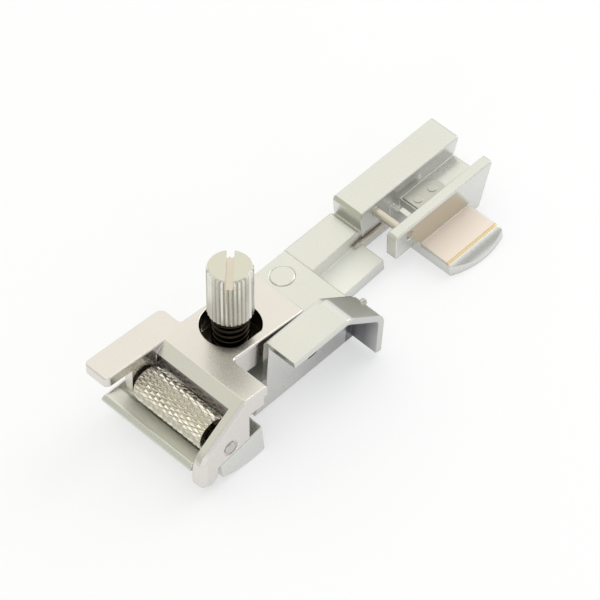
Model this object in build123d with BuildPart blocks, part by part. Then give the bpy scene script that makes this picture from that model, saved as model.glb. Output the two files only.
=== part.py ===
import math
import os

from build123d import *

os.makedirs("parts", exist_ok=True)

# Frame: sole on z = 0, front of the foot toward -Y, right side toward +X, millimetres

# Clearances
FIT_RUNNING = 0.05
GAP_SEAM = 0.1
GAP_RIVET = 0.03
GAP_ROLLER = 0.25
GAP_CHEEK = 0.2
SNAP = 0.01

# Base plate with the upturned toe
BASE_LEFT = -9.4
BASE_RIGHT = 6.2
BASE_TOP = 4.8
BASE_REAR = 24.1
TOE_RADIUS = 13.6
TOE_FLAT_Y = -4.0
TOE_REAR = -1.6
TOE_RIGHT = 12.6
LIP_FRONT = -13.45
LIP_FACE_H = 0.32
LIP_TOP_Y = -12.75
LIP_RIGHT = 9.6
BAR_FRONT = -10.0
BAR_TOP_FRONT = 4.2
BAR_TOP_REAR = 5.35
BAR_NOSE_R = 0.5
BAR_CORNER_R = 0.3
BASE_EDGE_R = 0.35

# Lap joint between the base plate and the rear foot
LAP_Y = 16.0
FLOOR_TOP = 2.1
LAP_RIVET_X = -5.9
LAP_RIVET_INSET = 3.7
LAP_RIVET_R = 1.2
LAP_HEAD_R = 1.95
LAP_HEAD_SUNK = 0.35
LAP_HEAD_PROUD = 0.12

# Elastic channel and tunnel
CHANNEL_LEFT = -8.95
CHANNEL_REAR = -3.1
RAMP_MID_Y = -10.3
RAMP_MID_Z = 4.25
RAMP_END_Y = -9.4
NIP_END_Y = -6.4
TUNNEL_LEFT = -3.3
TUNNEL_RIGHT = 1.86
TUNNEL_TOP = 3.4

# Lever frame: pitched up at the front, z = 0 on the lever's top face
LEVER_PITCH = 6.5
LEVER_Z = 13.15
PITCH_SIN = math.sin(math.radians(LEVER_PITCH))
PITCH_COS = math.cos(math.radians(LEVER_PITCH))
LEVER = Plane(origin=(0, 0, LEVER_Z), x_dir=(1, 0, 0), z_dir=(0, PITCH_SIN, PITCH_COS))

# Pressure lever
LEVER_T = 1.7
NECK_HALF = 5.45
NECK_REAR = 14.76
HEAD_RIGHT = 12.6
HEAD_DEPTH = 3.4
HEAD_FRONT = -3.96
ARM_LEFT_FRONT = -9.3
ARM_LEFT_REAR = -9.55
ARM_RIGHT = -4.3
ARM_FRONT = -15.55
ARM_CORNER_R = 0.9
HEAD_RIGHT_REAR = 0.4
HEAD_CORNER_R = 1.2
NOTCH_R = 0.45
WINDOW_REAR = -5.81
FACET_ANGLE = 37.5
FACET_CHAMFER = 0.5
CHEEK_T = 1.7
CHEEK_REAR = -3.25
LEG_FRONT = -13.0
LEG_REAR = -9.1
LEG_BEND_R = 4.2
LEG_TIP_Z = -12.95
LEG_CHAMFER_Y = 1.25
LEG_CHAMFER_X = 1.55
LEG_CHAMFER_TOP = -7.5
LUG_LEFT = -7.3
LUG_RIGHT = -5.75
LUG_R = 2.4
LEVER_EDGE_R = 0.3

# Spring pocket under the lever's neck
POCKET_Y = 5.0
POCKET_R = 4.7
POCKET_FLAT_X = 4.02
POCKET_DEPTH = 3.5
POCKET_FLOOR_T = 1.0
POCKET_WALL_R = 5.3
POCKET_HOLE_R = 2.3

# Lever hinge
HINGE_Y = 12.4
HINGE_Z = 7.6
HINGE_PIN_R = 1.0
POST_HALF = 3.9
POST_R = 2.0
EAR_INNER = 4.1
EAR_R = 1.7

# Roller and shaft
ROLLER_Y = -7.0
ROLLER_Z = -7.54
ROLLER_LEFT = -5.35
ROLLER_RIGHT = 8.9
ROLLER_CHAMFER = 0.3
SHAFT_R = 1.0
SHAFT_PROUD = 0.12
SHAFT_SINK_R = 1.35
SHAFT_SINK = 0.25
SHAFT_CHAMFER = 0.2
ROLLER_R = 2.9
WASHER_R = 1.5
WASHER_GAP = 0.15

# Thumb screw and spring
KNOB_BASE = 2.85
KNOB_TOP = 12.25
KNOB_R = 3.5
KNOB_ROOT_R = 3.15
KNOB_TEETH = 30
KNOB_CHAMFER = 0.35
SLOT_W = 1.15
SLOT_DEPTH = 1.65
SLOT_ANGLE = -45.6
SCREW_R = 1.5
SCREW_END = -7.6
BOSS_R = 3.0
BOSS_TOP = -5.3
BOSS_SINK = 0.6
SPRING_R = 2.55
SPRING_WIRE_R = 0.36
SPRING_WIRE_SIDES = 4
SPRING_TURNS = 4.5

# Edge guide, a bent sheet
SHEET_T = 1.1
GUIDE_RIGHT = 12.6
GUIDE_FRONT = 5.8
GUIDE_TOP = 13.2
GUIDE_BEND_Y = 16.9
GUIDE_SLOPE_Y = 23.15
GUIDE_SLOPE_Z = 7.56
GUIDE_DROP_Y = 21.86
GUIDE_DROP_Z = 1.0
GUIDE_WALL_Z = 0.35
GUIDE_KNEE_Y = 4.3
GUIDE_KNEE_Z = 4.6
GUIDE_TOE_Y = 1.4
GUIDE_EDGE_R = 0.9
GUIDE_BEND_R = 1.8
GUIDE_SLOT_Y = 13.6
GUIDE_SLOT_Z = 3.5
GUIDE_SLOT_L = 1.9
GUIDE_SLOT_H = 0.8
GUIDE_RIVET_R = 0.8
GUIDE_RIVET_L = 3.4
GUIDE_RIVET_Z = 2.2
GUIDE_RIVET_YS = (8.0, 15.0)
STUD_X = 8.6
STUD_Y = 21.4
STUD_L = 2.35
STUD_Z = 8.0
STUD_R = 0.55

# Rear foot
FLOOR_RIGHT_FRONT = 1.86
FLOOR_RIGHT_REAR = 1.45
FLOOR_REAR = 34.2
RIDGE_TOP = 4.65
RIDGE_RIGHT_FRONT = -3.35
RIDGE_RIGHT_REAR = -3.85
RIDGE_BEVEL = 0.9
RAIL_LEFT = -9.6
RAIL_FRONT = 34.9
RAIL_REAR = 56.2
HEEL_Y = 52.8
RAIL_TOP = 7.7
RAIL_LEFT_INNER = -3.7
RAIL_BEVEL_Y = 0.45
RAIL_BEVEL_Z = 0.8
RAIL_RIGHT_INNER = 1.5
RAIL_RIGHT_OUTER = 3.45
RAIL_RIGHT_FRONT = 35.4
RAIL_RIGHT_LOW_Y = 35.0
RAIL_RIGHT_TOP = 7.5
RAIL_RIGHT_FOOT_Z = 1.4
RAIL_RIGHT_LOW_Z = 3.2
RAIL_EDGE_R = 0.3
SEAT_FRONT = 41.0
SEAT_TOP = 4.7
SEAT_SLOT_FRONT = 41.95
SEAT_SLOT_REAR = 43.05
SEAT_SLOT_DEPTH = 1.4
NUB_LEFT = -1.85
NUB_TOP = 5.15
WING_FRONT = 39.95
WING_REAR = 50.8
WING_TOP = 2.3
WING_RIGHT_FRONT = 9.9
WING_RIGHT_REAR = 10.4
WING_BULGE = 1.2
WING_RIM_X = 9.15
WING_FLANK_X = 10.35
WING_FLANK_Z = 1.72
WING_HEM_X = 11.75
WING_EDGE_R = 0.4

# Ankle pin
PIN_R = 0.75
PIN_Y = 38.2
PIN_Z = 5.9
PIN_SOCKET = 1.6
PIN_RECESS = 0.4

# Stitch finger and insert plate
FINGER_LEFT = -3.55
FINGER_W = 0.4
FINGER_Z = 1.6
FINGER_H = 0.95
FINGER_ROOT = 32.9
FINGER_TIP = 39.2
INSERT_LEFT = -3.1
INSERT_RIGHT = 1.35
INSERT_FRONT = 43.25
INSERT_REAR = 49.3
INSERT_T = 0.5
INSERT_END_R = 2.0
INSERT_RIVET_R = 0.75
INSERT_RIVET_H = 0.12
INSERT_RIVET_X = -1.1
INSERT_RIVET_YS = (44.6, 47.6)
INSERT_RIVET_SHANK_R = 0.5
INSERT_RIVET_SHANK = 1.2


def side(x):
    """Plane across X at x: its first axis runs to the rear, its second axis runs up."""
    return Plane(origin=(x, 0, 0), x_dir=(0, 1, 0), z_dir=(1, 0, 0))


def lever_side(x):
    """Plane across X at x in the lever's pitched frame."""
    return Plane(origin=(x, 0, LEVER_Z), x_dir=(0, PITCH_COS, -PITCH_SIN), z_dir=(1, 0, 0))


def to_lever(y, z):
    """Lever frame pair of a point that is given in the foot's frame."""
    rise = z - LEVER_Z
    return (y * PITCH_COS - rise * PITCH_SIN, y * PITCH_SIN + rise * PITCH_COS)


def from_lever(y, z):
    """Foot frame pair of a point that is given in the lever's frame."""
    return (y * PITCH_COS + z * PITCH_SIN, LEVER_Z - y * PITCH_SIN + z * PITCH_COS)


def toe_z(y):
    """Height of the toe's round underside at y."""
    return TOE_RADIUS - math.sqrt(TOE_RADIUS**2 - (TOE_FLAT_Y - y) ** 2)


def block(x0, y0, x1, y1):
    """Rectangle in the open sketch between two corners."""
    with Locations(((x0 + x1) / 2, (y0 + y1) / 2)):
        Rectangle(x1 - x0, y1 - y0)


def near(shapes, axis, value):
    """Those of the shapes whose centre lies at the value on the axis."""
    return shapes.filter_by_position(axis, value - SNAP, value + SNAP)


def bar_top(y):
    """Height of the right bar's sloped top at y."""
    slope = (BAR_TOP_REAR - BAR_TOP_FRONT) / (TOE_REAR - BAR_FRONT)
    return BAR_TOP_FRONT + slope * (y - BAR_FRONT)


ROLLER_AXIS = from_lever(ROLLER_Y, ROLLER_Z)
NIP_Z = ROLLER_AXIS[1] - ROLLER_R - GAP_ROLLER
HINGE_LEVER = to_lever(HINGE_Y, HINGE_Z)
FACET_SLOPE = math.tan(math.radians(FACET_ANGLE))
CHEEK_LOW_FRONT = to_lever(BAR_FRONT, BAR_TOP_FRONT + GAP_CHEEK)
CHEEK_LOW_REAR = to_lever(TOE_REAR, BAR_TOP_REAR + GAP_CHEEK)
GUIDE_MID_Z = GUIDE_TOP - SHEET_T / 2
CHEEK_INNER = HEAD_RIGHT - CHEEK_T
LAP_RIVET_Y = BASE_REAR - LAP_RIVET_INSET
LEG_R = (LEG_REAR - LEG_FRONT) / 2

# Front base: toe block, elastic channel, hinge post and screw boss
with BuildPart() as front_base:
    with BuildSketch(side(BASE_LEFT)):
        with BuildLine():
            Polyline(
                (TOE_FLAT_Y, 0),
                (LAP_Y, 0),
                (LAP_Y, FLOOR_TOP),
                (BASE_REAR, FLOOR_TOP),
                (BASE_REAR, BASE_TOP),
                (LIP_TOP_Y, BASE_TOP),
                (LIP_FRONT, toe_z(LIP_FRONT) + LIP_FACE_H),
                (LIP_FRONT, toe_z(LIP_FRONT)),
            )
            toe_mid = (LIP_FRONT + TOE_FLAT_Y) / 2
            ThreePointArc((LIP_FRONT, toe_z(LIP_FRONT)), (toe_mid, toe_z(toe_mid)), (TOE_FLAT_Y, 0))
        make_face()
    extrude(amount=LIP_RIGHT - BASE_LEFT)
    with BuildSketch(Plane.XY):
        block(BASE_RIGHT, TOE_REAR, LIP_RIGHT, BASE_REAR)
    extrude(amount=BASE_TOP, mode=Mode.SUBTRACT)
    fillet(front_base.edges().filter_by(Axis.Y).group_by(Axis.Z)[-1].sort_by(Axis.X)[0], BASE_EDGE_R)
    with BuildSketch(side(CHANNEL_LEFT)):
        with BuildLine():
            Polyline(
                (LIP_TOP_Y, BASE_TOP),
                (RAMP_MID_Y, RAMP_MID_Z),
                (RAMP_END_Y, NIP_Z),
                (NIP_END_Y, NIP_Z),
                (CHANNEL_REAR, FLOOR_TOP),
                (CHANNEL_REAR, BASE_TOP),
                close=True,
            )
        make_face()
    extrude(amount=LIP_RIGHT - CHANNEL_LEFT, mode=Mode.SUBTRACT)
    with BuildSketch(side(LIP_RIGHT)) as bar:
        with BuildLine():
            Polyline(
                (TOE_REAR, toe_z(TOE_REAR)),
                (TOE_REAR, BAR_TOP_REAR),
                (BAR_FRONT, BAR_TOP_FRONT),
                (BAR_FRONT, toe_z(BAR_FRONT)),
            )
            bar_mid = (BAR_FRONT + TOE_REAR) / 2
            ThreePointArc(
                (BAR_FRONT, toe_z(BAR_FRONT)), (bar_mid, toe_z(bar_mid)), (TOE_REAR, toe_z(TOE_REAR))
            )
        make_face()
        fillet(bar.vertices().group_by(Axis.X)[0], BAR_NOSE_R)
    extrude(amount=TOE_RIGHT - LIP_RIGHT)
    fillet(front_base.edges().filter_by(Axis.Z).group_by(Axis.X)[-1], BAR_CORNER_R)
    with BuildSketch(Plane.XY.offset(FLOOR_TOP)):
        block(TUNNEL_LEFT, CHANNEL_REAR, TUNNEL_RIGHT, BASE_REAR)
    extrude(amount=TUNNEL_TOP - FLOOR_TOP, mode=Mode.SUBTRACT)
    with BuildSketch(side(-POST_HALF)):
        block(HINGE_Y - POST_R, BASE_TOP - GAP_SEAM, HINGE_Y + POST_R, HINGE_Z)
        with Locations((HINGE_Y, HINGE_Z)):
            Circle(POST_R)
    extrude(amount=2 * POST_HALF)
    with BuildSketch(side(-POST_HALF)):
        with Locations((HINGE_Y, HINGE_Z)):
            Circle(HINGE_PIN_R + FIT_RUNNING)
    extrude(amount=2 * POST_HALF, mode=Mode.SUBTRACT)
    boss_drop = BOSS_TOP - to_lever(POCKET_Y, BASE_TOP)[1]
    with BuildSketch(LEVER.offset(BOSS_TOP)):
        with Locations((0, POCKET_Y)):
            Circle(BOSS_R)
    extrude(amount=-(boss_drop + BOSS_SINK))
    with BuildSketch(LEVER.offset(BOSS_TOP)):
        with Locations((0, POCKET_Y)):
            Circle(SCREW_R + FIT_RUNNING)
    extrude(amount=-(boss_drop + BASE_TOP - TUNNEL_TOP + BOSS_SINK), mode=Mode.SUBTRACT)
    with BuildSketch(Plane.XY.offset(BASE_TOP)):
        with Locations((LAP_RIVET_X, LAP_RIVET_Y)):
            Circle(LAP_HEAD_R + GAP_RIVET)
    extrude(amount=-LAP_HEAD_SUNK, mode=Mode.SUBTRACT)
    with BuildSketch(Plane.XY):
        with Locations((LAP_RIVET_X, LAP_RIVET_Y)):
            Circle(LAP_RIVET_R)
    extrude(amount=BASE_TOP, mode=Mode.SUBTRACT)
    with BuildSketch(side(BASE_RIGHT)):
        with Locations(*[(y, GUIDE_RIVET_Z) for y in GUIDE_RIVET_YS]):
            Circle(GUIDE_RIVET_R)
    extrude(amount=-(GUIDE_RIVET_L - SHEET_T), mode=Mode.SUBTRACT)
front_base.part.label = "front_base"
export_step(front_base.part, "parts/front_base.step")

# Rear foot: tang, floor, ridge, rails, seat and wing
with BuildPart() as rear_foot:
    with BuildSketch(Plane.XY):
        with BuildLine():
            Polyline(
                (BASE_LEFT, LAP_Y + GAP_SEAM),
                (FLOOR_RIGHT_FRONT, LAP_Y + GAP_SEAM),
                (FLOOR_RIGHT_FRONT, BASE_REAR),
                (FLOOR_RIGHT_REAR, FLOOR_REAR),
                (RAIL_LEFT_INNER, FLOOR_REAR),
                (RAIL_LEFT_INNER, SEAT_FRONT),
                (RAIL_RIGHT_OUTER, SEAT_FRONT),
                (RAIL_RIGHT_OUTER, RAIL_REAR),
                (RAIL_LEFT, RAIL_REAR),
                (RAIL_LEFT, RAIL_FRONT),
                (BASE_LEFT, RAIL_FRONT),
                close=True,
            )
        make_face()
    extrude(amount=FLOOR_TOP)
    with BuildSketch(Plane.XY.offset(FLOOR_TOP)):
        block(RAIL_LEFT_INNER, SEAT_FRONT, RAIL_RIGHT_INNER, RAIL_REAR)
    extrude(amount=SEAT_TOP - FLOOR_TOP)
    with BuildSketch(Plane.XY.offset(SEAT_TOP)):
        block(NUB_LEFT, SEAT_FRONT, RAIL_RIGHT_INNER, SEAT_SLOT_FRONT)
    extrude(amount=NUB_TOP - SEAT_TOP)
    with BuildSketch(Plane.XY.offset(SEAT_TOP)):
        block(RAIL_LEFT_INNER, SEAT_SLOT_FRONT, RAIL_RIGHT_INNER, SEAT_SLOT_REAR)
    extrude(amount=-SEAT_SLOT_DEPTH, mode=Mode.SUBTRACT)
    with BuildSketch(side(RAIL_LEFT)):
        with BuildLine():
            Polyline(
                (RAIL_FRONT, FLOOR_TOP),
                (RAIL_FRONT, RAIL_TOP - RAIL_BEVEL_Z),
                (RAIL_FRONT + RAIL_BEVEL_Y, RAIL_TOP),
                (RAIL_REAR, RAIL_TOP),
                (RAIL_REAR, FLOOR_TOP),
                close=True,
            )
        make_face()
    extrude(amount=RAIL_LEFT_INNER - RAIL_LEFT)
    with BuildSketch(side(RAIL_RIGHT_INNER)):
        with BuildLine():
            Polyline(
                (RAIL_RIGHT_LOW_Y, RAIL_RIGHT_LOW_Z),
                (RAIL_RIGHT_FRONT, RAIL_RIGHT_TOP - RAIL_BEVEL_Y),
                (RAIL_RIGHT_FRONT + RAIL_BEVEL_Y, RAIL_RIGHT_TOP),
                (RAIL_REAR, RAIL_RIGHT_TOP),
                (RAIL_REAR, RAIL_RIGHT_FOOT_Z),
                (WING_FRONT, RAIL_RIGHT_FOOT_Z),
                (WING_FRONT, RAIL_RIGHT_LOW_Z),
                close=True,
            )
        make_face()
    extrude(amount=RAIL_RIGHT_OUTER - RAIL_RIGHT_INNER)
    with BuildSketch(side(RAIL_LEFT)):
        with BuildLine():
            Polyline((RAIL_REAR, RAIL_TOP), (RAIL_REAR, 0), (HEEL_Y, 0), close=True)
        make_face()
    extrude(amount=RAIL_RIGHT_OUTER - RAIL_LEFT, mode=Mode.SUBTRACT)
    fillet(rear_foot.edges().filter_by(Axis.Y).sort_by(Axis.Z)[-4:], RAIL_EDGE_R)
    with BuildSketch(Plane.XY):
        with BuildLine():
            wing_mid = ((WING_RIGHT_FRONT + WING_RIGHT_REAR) / 2 + WING_BULGE, (WING_FRONT + WING_REAR) / 2)
            Polyline(
                (WING_RIGHT_REAR, WING_REAR),
                (RAIL_RIGHT_INNER, WING_REAR),
                (RAIL_RIGHT_INNER, WING_FRONT),
                (WING_RIGHT_FRONT, WING_FRONT),
            )
            ThreePointArc((WING_RIGHT_FRONT, WING_FRONT), wing_mid, (WING_RIGHT_REAR, WING_REAR))
        make_face()
    extrude(amount=WING_TOP)
    wing_rim = rear_foot.edges().filter_by(Axis.X).filter_by_position(Axis.X, RAIL_RIGHT_OUTER, wing_mid[0])
    fillet(wing_rim.group_by(Axis.Z)[-1], WING_EDGE_R)
    with BuildSketch(Plane.XZ.offset(-WING_FRONT)):
        with BuildLine():
            ThreePointArc((WING_RIM_X, WING_TOP), (WING_FLANK_X, WING_FLANK_Z), (WING_HEM_X, 0))
            Polyline((WING_HEM_X, 0), (WING_HEM_X, WING_TOP), (WING_RIM_X, WING_TOP))
        make_face()
    extrude(amount=WING_FRONT - WING_REAR, mode=Mode.SUBTRACT)
    with BuildSketch(side(BASE_LEFT)):
        with BuildLine():
            Polyline(
                (BASE_REAR + GAP_SEAM, FLOOR_TOP),
                (BASE_REAR + GAP_SEAM, RIDGE_TOP),
                (RAIL_FRONT - RIDGE_BEVEL, RIDGE_TOP),
                (RAIL_FRONT, RIDGE_TOP - RIDGE_BEVEL),
                (RAIL_FRONT, FLOOR_TOP),
                close=True,
            )
        make_face()
    extrude(amount=RIDGE_RIGHT_FRONT - BASE_LEFT)
    with BuildSketch(Plane.XY.offset(FLOOR_TOP)):
        with BuildLine():
            Polyline(
                (RIDGE_RIGHT_FRONT, BASE_REAR + GAP_SEAM),
                (RIDGE_RIGHT_FRONT, RAIL_FRONT),
                (RIDGE_RIGHT_REAR, RAIL_FRONT),
                close=True,
            )
        make_face()
    extrude(amount=RIDGE_TOP - FLOOR_TOP, mode=Mode.SUBTRACT)
    with BuildSketch(Plane.XY.offset(FINGER_Z)):
        block(FINGER_LEFT, FINGER_ROOT, FINGER_LEFT + FINGER_W, FLOOR_REAR)
    extrude(amount=FLOOR_TOP - FINGER_Z, mode=Mode.SUBTRACT)
    with BuildSketch(side(RAIL_LEFT_INNER - PIN_SOCKET)):
        with Locations((PIN_Y, PIN_Z)):
            Circle(PIN_R)
    extrude(amount=RAIL_RIGHT_OUTER - RAIL_LEFT_INNER + PIN_SOCKET, mode=Mode.SUBTRACT)
    with BuildSketch(Plane.XY):
        with Locations((LAP_RIVET_X, LAP_RIVET_Y)):
            Circle(LAP_RIVET_R)
    extrude(amount=FLOOR_TOP, mode=Mode.SUBTRACT)
    with BuildSketch(Plane.XY.offset(SEAT_TOP)):
        with Locations(*[(INSERT_RIVET_X, y) for y in INSERT_RIVET_YS]):
            Circle(INSERT_RIVET_SHANK_R)
    extrude(amount=-INSERT_RIVET_SHANK, mode=Mode.SUBTRACT)
rear_foot.part.label = "rear_foot"
export_step(rear_foot.part, "parts/rear_foot.step")

# Lap rivet with a low flat head in its sunk seat
with BuildPart() as lap_rivet:
    with BuildSketch(Plane.XY):
        with Locations((LAP_RIVET_X, LAP_RIVET_Y)):
            Circle(LAP_RIVET_R)
    extrude(amount=BASE_TOP - LAP_HEAD_SUNK)
    with BuildSketch(Plane.XY.offset(BASE_TOP - LAP_HEAD_SUNK)):
        with Locations((LAP_RIVET_X, LAP_RIVET_Y)):
            Circle(LAP_HEAD_R)
    extrude(amount=LAP_HEAD_SUNK + LAP_HEAD_PROUD)
    chamfer(lap_rivet.edges().group_by(Axis.Z)[-1], LAP_HEAD_PROUD)
lap_rivet.part.label = "lap_rivet"
export_step(lap_rivet.part, "parts/lap_rivet.step")

# Ankle pin between the rails
with BuildPart() as ankle_pin:
    with BuildSketch(side(RAIL_LEFT_INNER - PIN_SOCKET)):
        with Locations((PIN_Y, PIN_Z)):
            Circle(PIN_R)
    extrude(amount=RAIL_RIGHT_OUTER - RAIL_LEFT_INNER + PIN_SOCKET - PIN_RECESS)
ankle_pin.part.label = "ankle_pin"
export_step(ankle_pin.part, "parts/ankle_pin.step")

# Stitch finger over the needle opening
with BuildPart() as stitch_finger:
    with BuildSketch(Plane.XY.offset(FINGER_Z)):
        block(FINGER_LEFT, FINGER_ROOT, FINGER_LEFT + FINGER_W, FINGER_TIP)
    extrude(amount=FINGER_H)
    finger_ends = stitch_finger.edges().filter_by(Axis.X).sort_by(Axis.Z)[-2:]
    chamfer(finger_ends.sort_by(Axis.Y)[-1], FINGER_W / 2)
stitch_finger.part.label = "stitch_finger"
export_step(stitch_finger.part, "parts/stitch_finger.step")

# Insert plate with a round rear end
with BuildPart() as insert_plate:
    with BuildSketch(Plane.XY.offset(SEAT_TOP)) as insert:
        block(INSERT_LEFT, INSERT_FRONT, INSERT_RIGHT, INSERT_REAR)
        fillet(insert.vertices().group_by(Axis.Y)[-1], INSERT_END_R)
        with Locations(*[(INSERT_RIVET_X, y) for y in INSERT_RIVET_YS]):
            Circle(INSERT_RIVET_SHANK_R, mode=Mode.SUBTRACT)
    extrude(amount=INSERT_T)
insert_plate.part.label = "insert_plate"
export_step(insert_plate.part, "parts/insert_plate.step")

# Two rivets that hold the insert plate
with BuildPart() as insert_rivets:
    with BuildSketch(Plane.XY.offset(SEAT_TOP - INSERT_RIVET_SHANK)):
        with Locations(*[(INSERT_RIVET_X, y) for y in INSERT_RIVET_YS]):
            Circle(INSERT_RIVET_SHANK_R)
    extrude(amount=INSERT_RIVET_SHANK + INSERT_T)
    with BuildSketch(Plane.XY.offset(SEAT_TOP + INSERT_T)):
        with Locations(*[(INSERT_RIVET_X, y) for y in INSERT_RIVET_YS]):
            Circle(INSERT_RIVET_R)
    extrude(amount=INSERT_RIVET_H)
insert_rivets.part.label = "insert_rivets"
export_step(insert_rivets.part, "parts/insert_rivets.step")

# Pressure lever: tee plate, sloped window frame, lug, cheek with leg, spring pocket and hinge ears
with BuildPart() as pressure_lever:
    with BuildSketch(LEVER) as tee:
        with BuildLine():
            Polyline(
                (-NECK_HALF, NECK_REAR),
                (NECK_HALF, NECK_REAR),
                (NECK_HALF, HEAD_RIGHT_REAR),
                (HEAD_RIGHT, HEAD_RIGHT_REAR),
                (HEAD_RIGHT, HEAD_FRONT),
                (ARM_RIGHT, HEAD_FRONT),
                (ARM_RIGHT, ARM_FRONT),
                (ARM_LEFT_FRONT, ARM_FRONT),
                (ARM_LEFT_REAR, 0),
                (-NECK_HALF, 0),
                close=True,
            )
        make_face()
        fillet(tee.vertices().group_by(Axis.Y)[0], ARM_CORNER_R)
        fillet(near(tee.vertices(), Axis.Y, HEAD_RIGHT_REAR).sort_by(Axis.X)[0], NOTCH_R)
        fillet(near(tee.vertices(), Axis.Y, 0).sort_by(Axis.X)[-1], NOTCH_R)
        fillet(near(tee.vertices(), Axis.Y, 0).sort_by(Axis.X)[0], HEAD_CORNER_R)
    extrude(amount=-LEVER_T)
    top_rim = pressure_lever.faces().filter_by(LEVER).sort_by(Axis.Z)[-1].edges()
    head_front_edge = top_rim.filter_by(Axis.X).sort_by(Axis.Y)[1]
    fillet(top_rim - [head_front_edge], LEVER_EDGE_R)
    with BuildSketch(lever_side(LUG_LEFT)):
        block(HEAD_FRONT, -HEAD_DEPTH, -LEVER_EDGE_R, -LEVER_T / 2)
    extrude(amount=HEAD_RIGHT - LUG_LEFT)
    with BuildSketch(lever_side(ARM_RIGHT)):
        with BuildLine():
            Polyline(
                (HEAD_FRONT, 0),
                (WINDOW_REAR, FACET_SLOPE * (WINDOW_REAR - HEAD_FRONT)),
                (WINDOW_REAR, -HEAD_DEPTH),
                (HEAD_FRONT, -HEAD_DEPTH),
                close=True,
            )
        make_face()
    extrude(amount=CHEEK_INNER - ARM_RIGHT)
    with BuildSketch(lever_side(CHEEK_INNER)) as cheek:
        cheek_run = (CHEEK_REAR - CHEEK_LOW_FRONT[0]) / (CHEEK_LOW_REAR[0] - CHEEK_LOW_FRONT[0])
        cheek_low_z = CHEEK_LOW_FRONT[1] + cheek_run * (CHEEK_LOW_REAR[1] - CHEEK_LOW_FRONT[1])
        with BuildLine():
            Polyline(
                (HEAD_FRONT, 0),
                (LEG_FRONT, FACET_SLOPE * (LEG_FRONT - HEAD_FRONT)),
                (LEG_FRONT, LEG_TIP_Z + LEG_R),
                (LEG_REAR, LEG_TIP_Z + LEG_R),
                (LEG_REAR, CHEEK_LOW_FRONT[1]),
                (CHEEK_REAR, cheek_low_z),
                (CHEEK_REAR, -LEVER_T / 2),
                (HEAD_FRONT, -LEVER_T / 2),
                close=True,
            )
        make_face()
        fillet(cheek.vertices().group_by(Axis.X)[0].sort_by(Axis.Y)[-1], LEG_BEND_R)
        with Locations(((LEG_FRONT + LEG_REAR) / 2, LEG_TIP_Z + LEG_R)):
            Circle(LEG_R)
    cheek_solid = extrude(amount=HEAD_RIGHT - CHEEK_INNER, mode=Mode.PRIVATE)
    facet_rim = near(cheek_solid.edges().filter_by(GeomType.LINE), Axis.X, HEAD_RIGHT)
    add(cheek_solid.chamfer(FACET_CHAMFER, None, [facet_rim.sort_by(SortBy.LENGTH)[-1]]))
    with BuildSketch(LEVER.offset(LEG_CHAMFER_TOP)):
        with BuildLine():
            Polyline(
                (HEAD_RIGHT, LEG_FRONT),
                (HEAD_RIGHT, LEG_FRONT + LEG_CHAMFER_Y),
                (HEAD_RIGHT - LEG_CHAMFER_X, LEG_FRONT),
                close=True,
            )
        make_face()
    extrude(amount=LEG_TIP_Z - LEG_CHAMFER_TOP, mode=Mode.SUBTRACT)
    with BuildSketch(lever_side(LUG_LEFT)):
        block(ROLLER_Y - LUG_R, ROLLER_Z, ROLLER_Y + LUG_R, -LEVER_T / 2)
        block(ROLLER_Y, -HEAD_DEPTH, HEAD_FRONT, -LEVER_T / 2)
        with Locations((ROLLER_Y, ROLLER_Z)):
            Circle(LUG_R)
    extrude(amount=LUG_RIGHT - LUG_LEFT)
    with BuildSketch(lever_side(LUG_LEFT)):
        with Locations((ROLLER_Y, ROLLER_Z)):
            Circle(SHAFT_R)
    extrude(amount=HEAD_RIGHT - LUG_LEFT, mode=Mode.SUBTRACT)
    with BuildSketch(lever_side(HEAD_RIGHT)):
        with Locations((ROLLER_Y, ROLLER_Z)):
            Circle(SHAFT_SINK_R)
    extrude(amount=-SHAFT_SINK, mode=Mode.SUBTRACT)
    with BuildSketch(LEVER.offset(-LEVER_T / 2)):
        with Locations((0, POCKET_Y)):
            Rectangle(2 * NECK_HALF, 2 * POCKET_WALL_R)
    extrude(amount=-(POCKET_DEPTH + POCKET_FLOOR_T - LEVER_T / 2))
    with BuildSketch(LEVER):
        with Locations((0, POCKET_Y)):
            Circle(POCKET_R)
        with Locations((NECK_HALF, POCKET_Y)):
            Rectangle(2 * (NECK_HALF - POCKET_FLAT_X), 2 * POCKET_R, mode=Mode.SUBTRACT)
    extrude(amount=-POCKET_DEPTH, mode=Mode.SUBTRACT)
    with BuildSketch(LEVER.offset(-POCKET_DEPTH)):
        with Locations((0, POCKET_Y)):
            Circle(POCKET_HOLE_R)
    extrude(amount=-POCKET_FLOOR_T, mode=Mode.SUBTRACT)
    for ear_left in (-NECK_HALF, EAR_INNER):
        with BuildSketch(lever_side(ear_left)):
            block(HINGE_LEVER[0] - EAR_R, HINGE_LEVER[1], HINGE_LEVER[0] + EAR_R, -LEVER_T / 2)
            with Locations(HINGE_LEVER):
                Circle(EAR_R)
        extrude(amount=NECK_HALF - EAR_INNER)
    with BuildSketch(lever_side(-NECK_HALF)):
        with Locations(HINGE_LEVER):
            Circle(HINGE_PIN_R)
    extrude(amount=2 * NECK_HALF, mode=Mode.SUBTRACT)
pressure_lever.part.label = "pressure_lever"
export_step(pressure_lever.part, "parts/pressure_lever.step")

# Lever pin: pressed in the ears, running in the post
with BuildPart() as lever_pin:
    with BuildSketch(side(-NECK_HALF)):
        with Locations((HINGE_Y, HINGE_Z)):
            Circle(HINGE_PIN_R)
    extrude(amount=2 * NECK_HALF)
lever_pin.part.label = "lever_pin"
export_step(lever_pin.part, "parts/lever_pin.step")

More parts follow.
